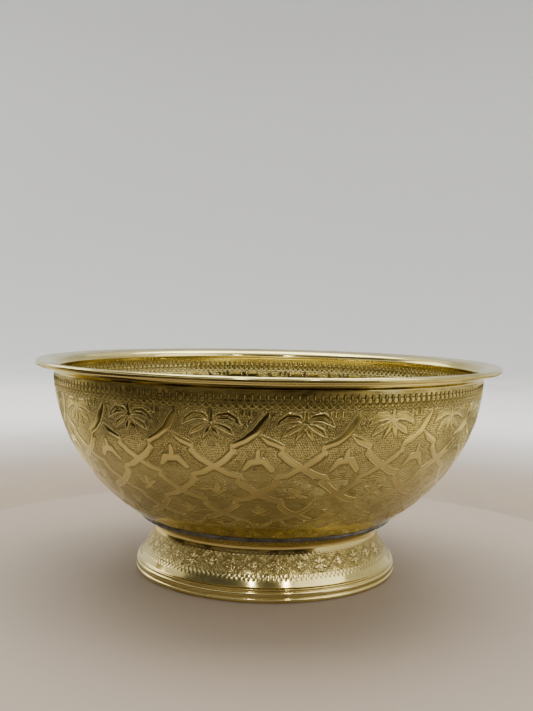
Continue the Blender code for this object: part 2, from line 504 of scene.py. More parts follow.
def body_distances(curve, angle, down, stretch):
    """Return the distances in mm to the body's figures, thin lines and beads."""
    c = chasing()
    belly = sizes().belly_radius / MM
    panel = math.tau * belly / c.panels
    drift = Waves(c.seed, 14, 60, 0.28)
    drift_down = Waves(c.seed + 1, 14, 60, 0.28)
    pulled = PANEL_PULL * np.sin(2.0 * angle)
    across = (angle - PANEL_TURN - pulled) * belly + HAND_DRIFT * drift(angle, down)
    down = down + HAND_DRIFT * drift_down(angle, down)
    shapes, petals, lines, beads = body_layout(curve, panel)
    petal, shape, line, bead = (
        stroke_distance(across, down, stretch, strokes, panel) for strokes in (petals, shapes, lines, beads))
    return np.minimum(petal, shape), line, bead


def body_field(curve, angle, heights, downs, columns, offset_radius):
    """Return the body's relief (m) and its finish masks at rows of heights and columns of angle."""
    c = chasing()
    belly = sizes().belly_radius
    angle, height = np.meshgrid(angle, np.asarray(heights) / MM)
    down = np.repeat((np.asarray(downs) / MM)[:, None], columns, axis=1)
    stretch = np.repeat((np.asarray(offset_radius) / belly)[:, None], columns, axis=1)
    shape, line, bead = body_distances(curve, angle, down, stretch)
    top = SCALLOP_LINES[1]
    band = smooth_step(GROUND_FOOT, GROUND_FOOT + 2.0, height) * raised(top - 1.2, top - 0.2, height)
    shape = np.where(band > 0.02, shape, -FAR)
    line = np.where(height < top - 0.6, line, FAR)
    ground = smooth_step(0.0, 0.8, shape) * band
    grain = np.random.default_rng(c.seed + 2).uniform(-1.0, 1.0, height.shape)
    hand = Waves(c.seed + 3, 26, 34, 0.16)(angle, down)
    # The lower body is chased more lightly than the upper
    firm = LIGHT_CHASING + (1.0 - LIGHT_CHASING) * smooth_step(*FIRM_HEIGHTS, height)
    relief = ground * firm * (GRAIN_RISE * grain - c.ground_depth / MM)
    relief += STRAP_CROWN * smooth_step(0.0, 2.0, -shape) * band * firm
    relief -= EDGE_CUT * groove(shape - EDGE_CUT_AWAY, 0.5) * band * firm
    relief -= LINE_CUT * groove(line, 0.45) * band
    relief += tongue_relief(angle, height, c.tongues, math.tau * belly / MM / c.tongues)
    relief += BEAD_RISE * raised(0.2, 0.8, bead)
    fade = smooth_step(CHASING_FOOT - 10.0, CHASING_FOOT, height)
    relief += hand * (c.wobble / MM) * (0.35 + 0.65 * fade)
    return relief * MM, {
        "edge": shape,
        "line": line,
        "ground": ground,
        "bead": bead,
        "border": smooth_step(top - 1.4, top - 0.6, height),
        "down": down,
    }


# ---------------------------------------------------------------- meshes


# What a surface with no chasing holds
PLAIN_MASKS = {
    "edge": -FAR, "line": FAR, "bead": FAR, "ground": 0.0, "tongue": 0.0, "border": 0.0, "down": 0.0,
    "tin": 0.0,
}


class TurnedMesh:
    """A closed mesh built ring by ring, each ring with its own number of columns."""

    def __init__(self, masks):
        self.points = []
        self.faces = []
        self.masks = {name: [] for name in masks}
        self.plain = dict(masks)
        self.rings = []
        self.total = 0

    def add_ring(self, row, columns, relief=None, masks=None):
        """Add one ring and join it to the last one."""
        radius, height, across, up = row
        turn = np.arange(columns) * math.tau / columns
        push = np.zeros(columns) if relief is None else relief
        reach = radius + across * push
        places = (reach * np.sin(turn), -reach * np.cos(turn), height + up * push)
        self.points.append(np.column_stack(places))
        for name, values in self.masks.items():
            given = None if masks is None else masks.get(name)
            values.append(np.full(columns, self.plain[name]) if given is None else given)
        start = self.total
        self.total += columns
        if self.rings:
            self.join(self.rings[-1], (start, columns))
        self.rings.append((start, columns))

    def add_pole(self, height):
        """Close the mesh with one point on the axis."""
        self.points.append(np.array([[0.0, 0.0, height]]))
        for name, values in self.masks.items():
            values.append(np.array([self.plain[name]]))
        start = self.total
        self.total += 1
        if self.rings:
            base, count = self.rings[-1]
            self.faces += [(base + j, base + (j + 1) % count, start) for j in range(count)]
        self.rings.append((start, 1))

    def join(self, first, second):
        """Fill the strip between two rings; their column counts are equal or divide evenly."""
        (a, n), (b, m) = first, second
        if n == 1:
            self.faces += [(a, b + (j + 1) % m, b + j) for j in range(m)]
        elif n == m:
            j = np.arange(n)
            k = (j + 1) % n
            self.faces += np.column_stack((a + j, a + k, b + k, b + j)).tolist()
        elif n > m:
            share = n // m
            for j in range(m):
                top = [a + (j * share + i) % n for i in range(share + 1)]
                self.faces.append(top + [b + (j + 1) % m, b + j])
        else:
            share = m // n
            for j in range(n):
                low = [b + (j * share + i) % m for i in range(share, -1, -1)]
                self.faces.append([a + j, a + (j + 1) % n] + low)

    def close(self):
        """Join the last ring to the first."""
        self.join(self.rings[-1], self.rings[0])

    def build(self, name, material, node):
        """Make the object, ride it on the frame and let it stand for its CAD node."""
        mesh = bpy.data.meshes.new(name)
        mesh.from_pydata(np.concatenate(self.points).tolist(), [], self.faces)
        for mask, values in self.masks.items():
            layer = mesh.attributes.new(mask, "FLOAT", "POINT")
            layer.data.foreach_set("value", np.concatenate(values).astype(np.float32))
        mesh.materials.append(material)
        mesh.shade_smooth()
        mesh.update()
        made = bpy.data.objects.new(name, mesh)
        bpy.context.scene.collection.objects.link(made)
        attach(made, BODY)
        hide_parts(node)
        return made


# ---------------------------------------------------------------- the bowl


def bowl_lip_rows(s):
    """Return the rows under the flange and around the wire, then back over the lip, in two lists."""
    half = s.sheet / 2.0
    bead = (s.rim_radius - s.lip_bead, s.rim_height - s.lip_bead)
    curl = s.lip_bead - half
    slope = s.flange_slope
    tangent = 90.0 + math.degrees(slope)
    reach = s.neck_radius + s.throat_bend
    drop = (bead[0] - reach) * math.tan(slope) + (s.throat_bend - curl) / math.cos(slope)
    throat = (reach, bead[1] - drop)
    flat = (math.cos(math.radians(tangent)), math.sin(math.radians(tangent)))
    under = arc_rows(throat, s.throat_bend - half, 180.0, tangent, 11, -1.0)
    rolled = arc_rows(bead, curl - half, tangent, -180.0, 15, -1.0)
    under += line_rows(under[-1], rolled[0], 3, (-flat[0], -flat[1])) + rolled
    over = arc_rows(bead, s.lip_bead, -180.0, tangent, 21)
    inner = arc_rows(throat, s.throat_bend + half, tangent, 180.0, 11)
    over += line_rows(over[-1], inner[0], 5, flat) + inner
    return under, over


def add_chased_rows(turned, curve, downs, columns, side, strength):
    """Add rows of the body at distances down; side 1 is the outer face and -1 the inner one."""
    offset = side * sizes().sheet / 2.0
    rows = [curve.row(down, offset) for down in downs]
    if side < 0.0:
        rows = [(r, z, -across, -up) for r, z, across, up in rows]
    turn = np.arange(columns) * math.tau / columns
    heights = [np.interp(down, curve.down, curve.height) for down in downs]
    relief, masks = body_field(curve, turn, heights, downs, columns, [row[0] for row in rows])
    relief *= side * strength
    for i, row in enumerate(rows):
        held = {name: values[i] for name, values in masks.items()}
        if side < 0.0:
            # Inside, only the border and a trace of the ground are seen
            held["ground"] = held["ground"] * 0.3
            for name in ("line", "bead", "edge"):
                held[name] = None
        turned.add_ring(row, columns, relief[i], held)


def add_bands(turned, curve, bands, side, strength):
    """Add bands of body rows, each given as (columns, first distance down, last one, row step)."""
    for columns, start, stop, step in bands:
        count = max(2, round(abs(stop - start) / step) + 1)
        add_chased_rows(turned, curve, np.linspace(start, stop, count), columns, side, strength)


def build_bowl(material):
    """Build the whole bowl as one closed skin: outer face, lip and inner face."""
    s, c = sizes(), chasing()
    curve = BodyCurve(s)
    half = s.sheet / 2.0
    bottom = s.belly_height - s.body_depth
    fine = c.tongues * c.tongue_columns
    end = curve.down[-1]
    chased_foot = curve.down_at(CHASING_FOOT * MM)
    border_foot = curve.down_at((SCALLOP_LINES[1] - 1.0) * MM)
    border_top = curve.down_at((TONGUE_TOP + 0.6) * MM)
    turned = TurnedMesh(PLAIN_MASKS)
    turned.add_pole(bottom - half)
    add_bands(turned, curve, (
        (fine // 18, end - 0.003, end - 0.030, 0.005),
        (fine // 6, end - 0.034, curve.down_at(0.034), 0.005),
        (fine // 2, curve.down_at(0.036), chased_foot + 0.0006, 0.0015),
        (fine, chased_foot, border_foot, c.row_step),
    ), 1.0, 1.0)
    # The border is twice as fine both ways, and three more rows reach the belly
    count = round((border_foot - border_top) / (0.5 * c.row_step)) + 1
    add_chased_rows(turned, curve, np.linspace(border_foot - 0.0003, border_top, count), 2 * fine, 1.0, 1.0)
    add_chased_rows(turned, curve, np.linspace(border_top - 0.0005, 0.0, 3), fine, 1.0, 1.0)
    under, over = bowl_lip_rows(s)
    for row in under[1:] + over[:-1]:
        turned.add_ring(row, fine // 3)
    shown = curve.down_at(SCALLOP_LINES[1] * MM - 0.003)
    add_bands(turned, curve, (
        (fine, 0.0, shown, c.row_step),
        (fine // 2, shown + 0.0015, curve.down_at(0.040), 0.0019),
        (fine // 6, curve.down_at(0.038), end - 0.030, 0.004),
        (fine // 18, end - 0.026, end - 0.003, 0.005),
    ), -1.0, c.show_through)
    turned.add_pole(bottom + half)
    return turned.build("chased_bowl", material, "bowl")


# ---------------------------------------------------------------- the foot

# The foot's levels, as heights in mm
FLARE_TOP = 28.8
FLARE_FOOT = 8.6
FRIEZE_TOP = 26.6
FRIEZE_MIDDLE = 20.2
FRIEZE_FOOT = 15.0
DOT_ROWS = (14.3, 13.1)
FLARE_FOOT_RADIUS = 84.6
FLARE_POWER = 1.3
# The mouldings under the flare, as a bend's corner and end in mm and its number of steps
MOULDINGS = (
    ((85.9, 8.3), (85.7, 7.6), 5),
    ((85.4, 7.1), (85.4, 6.8), 3),
    ((86.2, 6.7), (86.6, 5.5), 5),
    ((86.8, 3.6), (86.1, 3.2), 6),
)
INNER_MOULDINGS = ((84.5, 6.2), (85.7, 3.8))
# How far the engraving on the flange reaches in from its edge, in mm
LEAF_REACH = 7.4
FOOT_COLUMNS = 1080
FOOT_PANELS = 18
ARCHES = 162
LEAVES = 180
HEM_TUCK = -202.5
# Height of one mesh row of the flange, in metres; the flare's are four fifths of it
FOOT_STEP = 0.0006
# How deep the ground and the border lines are cut, in mm
FOOT_GROUND_DEPTH = 0.08
BORDER_CUT = 0.2


def bend_points(start, corner, end, count):
    """Return points on a quadratic bend, without its first point."""
    points = []
    for t in np.linspace(0.0, 1.0, count + 1)[1:]:
        points.append(tuple(
            (1.0 - t) ** 2 * a + 2.0 * t * (1.0 - t) * b + t * t * c
            for a, b, c in zip(start, corner, end)))
    return points


def flare_point(waist, share):
    """Return the point at a share of the way down the flare, whose waist has this radius."""
    spread = FLARE_FOOT_RADIUS * MM - sizes().waist_radius
    return waist + spread * share ** FLARE_POWER, (FLARE_TOP - (FLARE_TOP - FLARE_FOOT) * share) * MM


def down_at_radius(curve, radius):
    """Return the distance down the body's curve to a radius."""
    return float(np.interp(-radius, -curve.radius, curve.down))


def foot_outer_points(s, curve):
    """Return the foot's outer face as (radius, height) points, from its flange's edge down to its hem."""
    below = s.sheet / 2.0 + s.gap + s.sheet
    edge = down_at_radius(curve, s.flange_radius)
    bend = down_at_radius(curve, s.waist_radius + 0.001)
    count = round((bend - edge) / FOOT_STEP)
    points = [curve.row(down, below)[:2] for down in np.linspace(edge, bend, count)]
    top = points[-1][1]
    points += bend_points(points[-1], (s.waist_radius, top - 0.0001), (s.waist_radius, top - 0.0012), 4)
    count = round((FLARE_TOP - FLARE_FOOT) * MM / (0.8 * FOOT_STEP))
    points += [flare_point(s.waist_radius, share) for share in np.linspace(0.0, 1.0, count + 1)]
    for corner, end, steps in MOULDINGS:
        points += bend_points(points[-1], [v * MM for v in corner], [v * MM for v in end], steps)
    return points


def foot_inner_rows(s, curve):
    """Return the rows of the foot's inner face, from its flange's edge down to its hem."""
    below = s.sheet / 2.0 + s.gap
    edge = down_at_radius(curve, s.flange_radius)
    bend = down_at_radius(curve, s.waist_radius + 0.0006)
    rows = []
    for down in np.linspace(edge, bend, 8):
        radius, height, across, up = curve.row(down, below)
        rows.append((radius, height, -across, -up))
    waist = s.waist_radius - s.sheet
    start = rows[-1]
    points = bend_points(start[:2], (waist, start[1]), (waist, start[1] - 0.0016), 5)
    points += [flare_point(waist, share) for share in np.linspace(0.05, 1.0, 12)]
    points += [(radius * MM, height * MM) for radius, height in INNER_MOULDINGS]
    return rows + [(*point, -1.0, 0.0) for point in points]


def hem_arc(s, radius, start, end, count, side):
    """Return rows around the hem's wire."""
    return arc_rows((s.foot_radius - s.hem_bead, s.hem_bead), radius, start, end, count, side)


def rows_with_normals(points, side):
    """Return rows whose normals stand off the points' own line; side 1 faces away from the axis."""
    rows = []
    for i, (radius, height) in enumerate(points):
        before, after = points[max(i - 1, 0)], points[min(i + 1, len(points) - 1)]
        across, fall = after[0] - before[0], after[1] - before[1]
        length = math.hypot(across, fall)
        rows.append((radius, height, -side * fall / length, side * across / length))
    return rows


def foot_layout(panel):
    """Return (shapes, lines) of one panel of the foot's frieze, about its middle."""
    half = panel / 2.0
    flower = both_sides([
        stroke((0.6, 0.5, 0.2), (2.2, 1.7, 0.75), (3.9, 2.1, 0.2)),
        stroke((0.6, -0.5, 0.2), (2.2, -1.7, 0.75), (3.9, -2.1, 0.2)),
    ])
    for up in (1.0, -1.0):
        flower.append(stroke((0.0, 0.8 * up, 0.2), (0.0, 2.6 * up, 0.7), (0.0, 4.4 * up, 0.2)))
    shapes = placed(flower, 0.0, 0.0) + placed(flower, half, 0.0, 0.6)
    lines = [ring(0.0, 0.0, 0.5, 0.0, steps=6)]
    for sign in (1.0, -1.0):
        for up in (1.0, -1.0):
            for gap in (0.0, 1.0):
                start, end = (gap - 5.0) * up, (4.6 + gap * 0.6) * up
                lines.append([(2.4 * sign, start, 0.0), (half * sign, end, 0.0)])
        scrolls = [spiral(5.6, 0.0, 2.0, 1.4, 0.0, 180.0, sign)]
        scrolls += [spiral(6.2, up, 1.5, 1.2, 0.0, 200.0, -sign) for up in (3.9, -3.9)]
        lines += placed(scrolls, 0.0, 0.0, 1.0, sign < 0.0)
        for up in (3.9, -3.9):
            lines.append([(7.6 * sign, up * 0.5, 0.0), (9.0 * sign, up * 0.8, 0.0)])
            lines.append([(7.9 * sign, up * 0.3, 0.0), (9.4 * sign, up * 0.6, 0.0)])
    for share in np.linspace(-1.0, 1.0, 7):
        for up in (1.0, -1.0):
            x, y = 5.2 * share, up * (4.9 - 2.2 * abs(share))
            lines.append([(x - 0.5, y, 0.0), (x + 0.5, y + 0.9 * up, 0.0)])
    return shapes, lines


def off_middle(angle, count, shift=0.0):
    """Return how far each angle is from the middle of its share of the way around, from 0 to 0.5."""
    return np.abs((angle * count / math.tau + shift) % 1.0 - 0.5)


def frieze_edges(angle, height, pitch):
    """Return the cuts beside the frieze: small arches above it and two rows of dots below."""
    arch = FRIEZE_TOP - 0.6 - 1.2 * (2.0 * off_middle(angle, ARCHES)) ** 2
    cuts = raised(0.15, 0.5, np.abs(height - arch)) * (height > FRIEZE_MIDDLE)
    for index, level in enumerate(DOT_ROWS):
        reach = np.hypot(off_middle(angle, ARCHES, 0.5 * index) * pitch, (height - level) * 0.8)
        cuts = np.maximum(cuts, raised(0.35, 0.8, reach))
    return cuts


def foot_field(rows, columns):
    """Return the foot's relief (m) and finish masks for its outer rows."""
    c = chasing()
    radii = np.array([row[0] for row in rows]) / MM
    heights = np.array([row[1] for row in rows]) / MM
    length = np.concatenate(([0.0], np.cumsum(np.hypot(np.diff(radii), np.diff(heights)))))
    middle = float(np.interp(-FRIEZE_MIDDLE, -heights, length))
    nominal = float(np.interp(-FRIEZE_MIDDLE, -heights, radii))
    round_way = math.tau * nominal
    angle, height = np.meshgrid(np.arange(columns) * math.tau / columns, heights)
    run = np.repeat(length[:, None], columns, axis=1)
    down = run - middle
    stretch = np.repeat((radii / nominal)[:, None], columns, axis=1)
    across = (angle - 0.1) * nominal + 0.25 * Waves(c.seed + 5, 10, 50, 0.4)(angle, down)
    panel = round_way / FOOT_PANELS
    shape, line = (stroke_distance(across, down, stretch, strokes, panel) for strokes in foot_layout(panel))
    band = smooth_step(FRIEZE_FOOT - 0.2, FRIEZE_FOOT + 0.5, height) * raised(
        FRIEZE_TOP - 1.6, FRIEZE_TOP - 0.8, height)
    # Leaf strokes on the flange under the bowl
    flange = smooth_step(FLARE_TOP + 2.0, FLARE_TOP + 3.2, height)
    lean = off_middle(angle, LEAVES) * round_way / LEAVES
    leaf = np.abs(lean - 0.95 * np.sin(np.clip(run / 7.0, 0.0, 1.0) * math.pi))
    engraved = run < LEAF_REACH
    tongue = np.maximum(frieze_edges(angle, height, round_way / ARCHES),
                        flange * raised(0.15, 0.5, leaf) * engraved)
    line = np.where(band > 0.5, line, np.where((flange > 0.5) & engraved, leaf, FAR))
    ground = np.maximum(smooth_step(0.0, 0.7, shape) * band, 0.9 * flange * engraved)
    smear = Waves(c.seed + 10, 18, 120, 1.4)(angle, run)
    tin = 0.75 * smooth_step(0.1, 0.9, smear + 1.3 * (1.0 - run / 4.0)) * (run < 8.0)
    grain = np.random.default_rng(c.seed + 6).uniform(-1.0, 1.0, height.shape)
    hand = Waves(c.seed + 7, 20, 22, 0.2)(angle, down)
    relief = ground * (GRAIN_RISE * grain - FOOT_GROUND_DEPTH)
    relief += 0.5 * STRAP_CROWN * smooth_step(0.0, 1.6, -shape) * band
    relief -= LINE_CUT * groove(line, 0.35) * band
    relief -= BORDER_CUT * tongue
    relief += 0.06 * hand * smooth_step(3.4, 9.0, height)
    return relief * MM, {
        "edge": np.where(band > 0.5, shape, -FAR),
        "line": line,
        "ground": ground,
        "tongue": tongue,
        "down": down,
        "tin": tin,
    }


def build_foot(material):
    """Build the foot as one closed skin: outer face, hem and inner face."""
    s = sizes()
    curve = BodyCurve(s)
    outer = rows_with_normals(foot_outer_points(s, curve)[::-1], -1.0)
    relief, masks = foot_field(outer[::-1], FOOT_COLUMNS)
    relief = relief[::-1]
    turned = TurnedMesh(PLAIN_MASKS)
    for row in hem_arc(s, s.hem_bead, HEM_TUCK, 70.0, 22, 1.0):
        turned.add_ring(row, FOOT_COLUMNS // 2)
    for i, row in enumerate(outer[1:], 1):
        turned.add_ring(row, FOOT_COLUMNS, relief[i], {n: v[::-1][i] for n, v in masks.items()})
    inner = foot_inner_rows(s, curve) + hem_arc(s, s.hem_bead - s.sheet, 50.0, HEM_TUCK, 14, -1.0)
    for row in inner:
        turned.add_ring(row, FOOT_COLUMNS // 4)
    turned.close()
    return turned.build("chased_foot", material, "foot")


# ---------------------------------------------------------------- the solder


def build_solder(material):
    """Build the lumpy run of solder between the bowl and the edge of the foot's flange."""
    s, c = sizes(), chasing()
    curve = BodyCurve(s)
    edge = down_at_radius(curve, s.flange_radius)
    start, stop = edge - 0.0013, edge + 0.0002
    low, high = s.sheet / 2.0 - 0.0001, s.sheet * 1.5 + s.gap + 0.00015
    columns = FOOT_COLUMNS // 2
    turn = np.arange(columns) * math.tau / columns
    lumps = Waves(c.seed + 8, 22, 70, 1.0)
    toe = Waves(c.seed + 9, 22, 90, 1.0)
    turned = TurnedMesh({"edge": -FAR})
    for share in np.linspace(1.0, 0.0, 10):
        bulge = math.sin(share * math.pi / 2.0) ** 0.8
        down = start + (stop - start) * (1.0 - math.cos(share * math.pi / 2.0))
        swell = math.sin(share * math.pi) * 0.9 + 0.1
        push = 0.00026 * swell * lumps(turn, share * 2.0) + 0.00010 * toe(turn, share * 3.0)
        turned.add_ring(curve.row(down, low + (high - low) * bulge), columns, push)
    for down in (edge - 0.00078, stop):
        radius, height, across, up = curve.row(down, s.sheet / 2.0 - 0.0002)
        turned.add_ring((radius, height, -across, -up), columns)
    turned.close()
    return turned.build("solder_run", material, "solder_seam")


# ---------------------------------------------------------------- finishes

# How rough polished brass is
BRASS_POLISH = 0.10
# Heights of the marks in the finish, in mm
BURR_HEIGHT = 0.26
EDGE_HEIGHT = 0.08
LINE_HEIGHT = 0.11
BORDER_HEIGHT = 0.42
BEAD_HEIGHT = 0.60
SPUN_HEIGHT = 0.006
# Shares of patina in the cuts and the punched pits
CUT_PATINA = 0.66
PIT_PATINA = 0.85


def new_group(name, inputs, outputs):
    """Return (group, input node, output node) of a shader group with float sockets."""
    group = bpy.data.node_groups.new(name, "ShaderNodeTree")
    for label, value in inputs.items():
        socket = group.interface.new_socket(label, in_out="INPUT", socket_type="NodeSocketFloat")
        socket.default_value = value
    for label in outputs:
        group.interface.new_socket(label, in_out="OUTPUT", socket_type="NodeSocketFloat")
    return group, group.nodes.new("NodeGroupInput"), group.nodes.new("NodeGroupOutput")


def feed(tree, node, values):
    """Set or link a node's inputs."""
    for key, value in values.items():
        if isinstance(value, bpy.types.NodeSocket):
            tree.links.new(value, node.inputs[key])
        else:
            node.inputs[key].default_value = value
    return node


def add(tree, kind, values=None, **settings):
    """Add a node, set its options, and set or link its inputs."""
    made = tree.nodes.new(kind)
    for key, value in settings.items():
        setattr(made, key, value)
    return feed(tree, made, values or {})


def maths(tree, operation, *values, clamp=False):
    """Add a Math node and return its output."""
    made = add(tree, "ShaderNodeMath", dict(enumerate(values)), operation=operation, use_clamp=clamp)
    return made.outputs[0]


def chain(tree, operation, first, *rest):
    """Return values joined one after another by a Math operation."""
    for value in rest:
        first = maths(tree, operation, first, value)
    return first


def plus(tree, *values):
    """Return a sum."""
    return chain(tree, "ADD", *values)


def times(tree, *values):
    """Return a product."""
    return chain(tree, "MULTIPLY", *values)


def largest(tree, *values):
    """Return the largest of several values."""
    return chain(tree, "MAXIMUM", *values)


def minus(tree, first, second):
    """Return a difference."""
    return maths(tree, "SUBTRACT", first, second)


def over(tree, first, second):
    """Return a quotient."""
    return maths(tree, "DIVIDE", first, second)


def rest_of(tree, share):
    """Return what a share leaves of one."""
    return minus(tree, 1.0, share)


def apart(tree, first, second):
    """Return how far apart two values are."""
    return maths(tree, "ABSOLUTE", minus(tree, first, second))


def length_of(tree, first, second):
    """Return the length of a step with these two sides."""
    squares = [maths(tree, "POWER", side, 2.0) for side in (first, second)]
    return maths(tree, "SQRT", plus(tree, *squares))


def ramp(tree, value, low, high, bottom=0.0, top=1.0):
    """Return a smooth ramp of a value."""
    made = add(tree, "ShaderNodeMapRange", {
        "Value": value, "From Min": low, "From Max": high, "To Min": bottom, "To Max": top,
    }, interpolation_type="SMOOTHSTEP")
    return made.outputs["Result"]


def fading(tree, value, low, high, top=1.0):
    """Return a smooth ramp that falls to 0 as a value rises."""
    return ramp(tree, value, low, high, top, 0.0)


def blend_colour(tree, share, first, second):
    """Return a mix of two colours, given as sockets or as red, green and blue."""
    first, second = (
        value if isinstance(value, bpy.types.NodeSocket) else (*value, 1.0) for value in (first, second))
    made = add(tree, "ShaderNodeMix", data_type="RGBA")
    return feed(tree, made, {0: share, 6: first, 7: second}).outputs[2]


def object_place(tree):
    """Return the position on the object."""
    return add(tree, "ShaderNodeTexCoord").outputs["Object"]


def split(tree, vector):
    """Return a node that puts out a vector's X, Y and Z."""
    return add(tree, "ShaderNodeSeparateXYZ", {0: vector})


def punch_group():
    """Worked ground: rows of round punch marks, which give way to swirling scratches lower down."""
    tree, given, out = new_group(
        "punch_marks",
        {"Around": 600.0, "Down": 0.0, "Pitch": 1.5, "Ground": 1.0, "Swirl Top": 0.0},
        ("Height", "Pit", "Lower"))
    place = split(tree, object_place(tree))
    angle = maths(tree, "ARCTAN2", place.outputs["X"], place.outputs["Y"])
    row = over(tree, given.outputs["Down"], given.outputs["Pitch"])
    level = maths(tree, "FLOOR", row)
    column = times(tree, over(tree, angle, math.tau), given.outputs["Around"])
    column = plus(tree, column, times(tree, level, 0.5))
    cell = add(tree, "ShaderNodeCombineXYZ", {"X": maths(tree, "FLOOR", column), "Y": level})
    chance = add(tree, "ShaderNodeTexWhiteNoise", {"Vector": cell.outputs[0]}, noise_dimensions="3D")
    draw = add(tree, "ShaderNodeSeparateColor", {0: chance.outputs["Color"]})
    offsets = []
    for value, part in ((column, draw.outputs[0]), (row, draw.outputs[1])):
        inside = minus(tree, maths(tree, "FRACT", value), 0.5)
        offsets.append(plus(tree, inside, times(tree, minus(tree, part, 0.5), 0.36)))
    pit = fading(tree, length_of(tree, *offsets), 0.06, 0.42)
    pit = times(tree, pit, plus(tree, times(tree, draw.outputs[2], 0.5), 0.5))
    swirl = add(tree, "ShaderNodeTexWave", {
        "Vector": object_place(tree), "Scale": 330.0, "Distortion": 26.0,
        "Detail": 2.0, "Detail Scale": 0.22,
    }, wave_type="BANDS", bands_direction="Z")
    scratch = times(tree, fading(tree, swirl.outputs["Fac"], 0.15, 0.8), 0.38)
    lower = fading(tree, minus(tree, place.outputs["Z"], given.outputs["Swirl Top"]), -0.008, 0.006)
    mark = add(tree, "ShaderNodeMix", {0: lower, 2: pit, 3: scratch}, data_type="FLOAT")
    height = times(tree, mark.outputs[0], given.outputs["Ground"])
    feed(tree, out, {"Height": times(tree, height, -1.0), "Pit": height, "Lower": lower})
    return tree


def border_group():
    """The tongue border: teardrops, the domes between them, and two rows of scallops."""
    tree, given, out = new_group(
        "tongue_border", {"Tongues": 216.0, "Pitch": 4.0}, ("Height", "Cut", "Shine"))
    place = split(tree, object_place(tree))
    angle = maths(tree, "ARCTAN2", place.outputs["X"], times(tree, place.outputs["Y"], -1.0))
    tall = over(tree, place.outputs["Z"], MM)
    turns = times(tree, over(tree, angle, math.tau), given.outputs["Tongues"])
    side = maths(tree, "PINGPONG", turns, 0.5)
    twice = times(tree, side, 2.0)
    fall = maths(tree, "DIVIDE", minus(tree, TONGUE_TOP, tall), TONGUE_TOP - TONGUE_FOOT, clamp=True)
    swell = maths(tree, "SINE", times(tree, maths(tree, "POWER", fall, TEAR_SWELL), math.pi))
    inside = maths(tree, "GREATER_THAN", swell, 0.02)
    drop = minus(tree, times(tree, side, given.outputs["Pitch"]), times(tree, swell, TEAR_HALF_WIDTH))
    tear = times(tree, fading(tree, drop, -0.5, 0.12), inside)
    tear_cut = times(tree, fading(tree, apart(tree, drop, 0.22), 0.05, 0.35), inside)
    between = times(tree, minus(tree, 0.5, side), given.outputs["Pitch"])
    reach = length_of(tree, between, apart(tree, tall, DOME_HEIGHT))
    dome = fading(tree, reach, DOME_RADIUS * 0.7, DOME_RADIUS, 0.5)
    rim = fading(tree, apart(tree, reach, DOME_RADIUS), 0.05, 0.32)
    ridges, grooves = [], []
    for level, rise, off in zip(SCALLOP_LINES, SCALLOP_RISES, (rest_of(tree, twice), twice)):
        curve = plus(tree, level, times(tree, maths(tree, "POWER", off, 2.0), rise))
        gap = apart(tree, tall, curve)
        ridges.append(fading(tree, gap, 0.0, 0.62))
        grooves.append(fading(tree, apart(tree, gap, 0.86), 0.1, 0.42))
    ridge = largest(tree, *ridges)
    shine = largest(tree, tear, ridge)
    between_ridges = times(tree, largest(tree, *grooves), rest_of(tree, ridge))
    cut = times(tree, largest(tree, tear_cut, between_ridges, rim), rest_of(tree, shine))
    high = largest(tree, times(tree, tear, 1.8), dome, ridge)
    feed(tree, out, {"Height": minus(tree, high, cut), "Cut": cut, "Shine": shine})
    return tree


def line_group():
    """A chased line along a stored distance: a cut with a slightly raised lip."""
    tree, given, out = new_group("chased_line", {"Distance": 1.0, "Half Width": 0.3}, ("Height", "Cut"))
    gap = over(tree, maths(tree, "ABSOLUTE", given.outputs["Distance"]), given.outputs["Half Width"])
    cut = fading(tree, gap, 0.2, 1.0)
    lip = fading(tree, apart(tree, gap, 1.5), 0.0, 0.6, 0.4)
    feed(tree, out, {"Height": minus(tree, lip, cut), "Cut": cut})
    return tree


def spun_group():
    """Fine rings left by spinning and polishing."""
    tree, given, out = new_group("spun_polish", {"Fineness": 2.0}, ("Height",))
    place = split(tree, object_place(tree))
    joined = add(tree, "ShaderNodeCombineXYZ", {
        "X": times(tree, place.outputs["X"], 14.0),
        "Y": times(tree, place.outputs["Y"], 14.0),
        "Z": times(tree, place.outputs["Z"], given.outputs["Fineness"], 900.0),
    })
    rings = add(tree, "ShaderNodeTexNoise", {"Vector": joined.outputs[0], "Scale": 1.0, "Detail": 3.0})
    feed(tree, out, {"Height": rings.outputs["Fac"]})
    return tree


def tarnish_group():
    """Soft clouds of tarnish, and the smaller bloom of handling."""
    tree, given, out = new_group("tarnish", {"Size": 0.05}, ("Cloud", "Bloom"))
    scale = over(tree, 1.0, given.outputs["Size"])
    clouds = add(tree, "ShaderNodeTexNoise", {
        "Vector": object_place(tree), "Scale": scale, "Detail": 4.0, "Roughness": 0.6})
    bloom = add(tree, "ShaderNodeTexNoise", {
        "Vector": object_place(tree), "Scale": times(tree, scale, 5.0), "Detail": 3.0})
    feed(tree, out, {
        "Cloud": ramp(tree, clouds.outputs["Fac"], 0.38, 0.66),
        "Bloom": ramp(tree, bloom.outputs["Fac"], 0.4, 0.7),
    })
    return tree


GROUPS = {
    "punch_marks": punch_group,
    "tongue_border": border_group,
    "chased_line": line_group,
    "spun_polish": spun_group,
    "tarnish": tarnish_group,
}


def place_group(tree, name, values):
    """Put a shader group in a material with its own values; it is made when first asked for."""
    made = tree.nodes.new("ShaderNodeGroup")
    made.node_tree = bpy.data.node_groups.get(name) or GROUPS[name]()
    return feed(tree, made, values).outputs


def stored(tree, name):
    """Return a value stored on the mesh."""
    return add(tree, "ShaderNodeAttribute", attribute_name=name).outputs["Fac"]


def new_material(name, roughness, metallic=1.0):
    """Return (material, tree, Principled shader)."""
    material = bpy.data.materials.new(name)
    material.use_nodes = True
    shader = material.node_tree.nodes["Principled BSDF"]
    shader.inputs["Metallic"].default_value = metallic
    shader.inputs["Roughness"].default_value = roughness
    return material, material.node_tree, shader


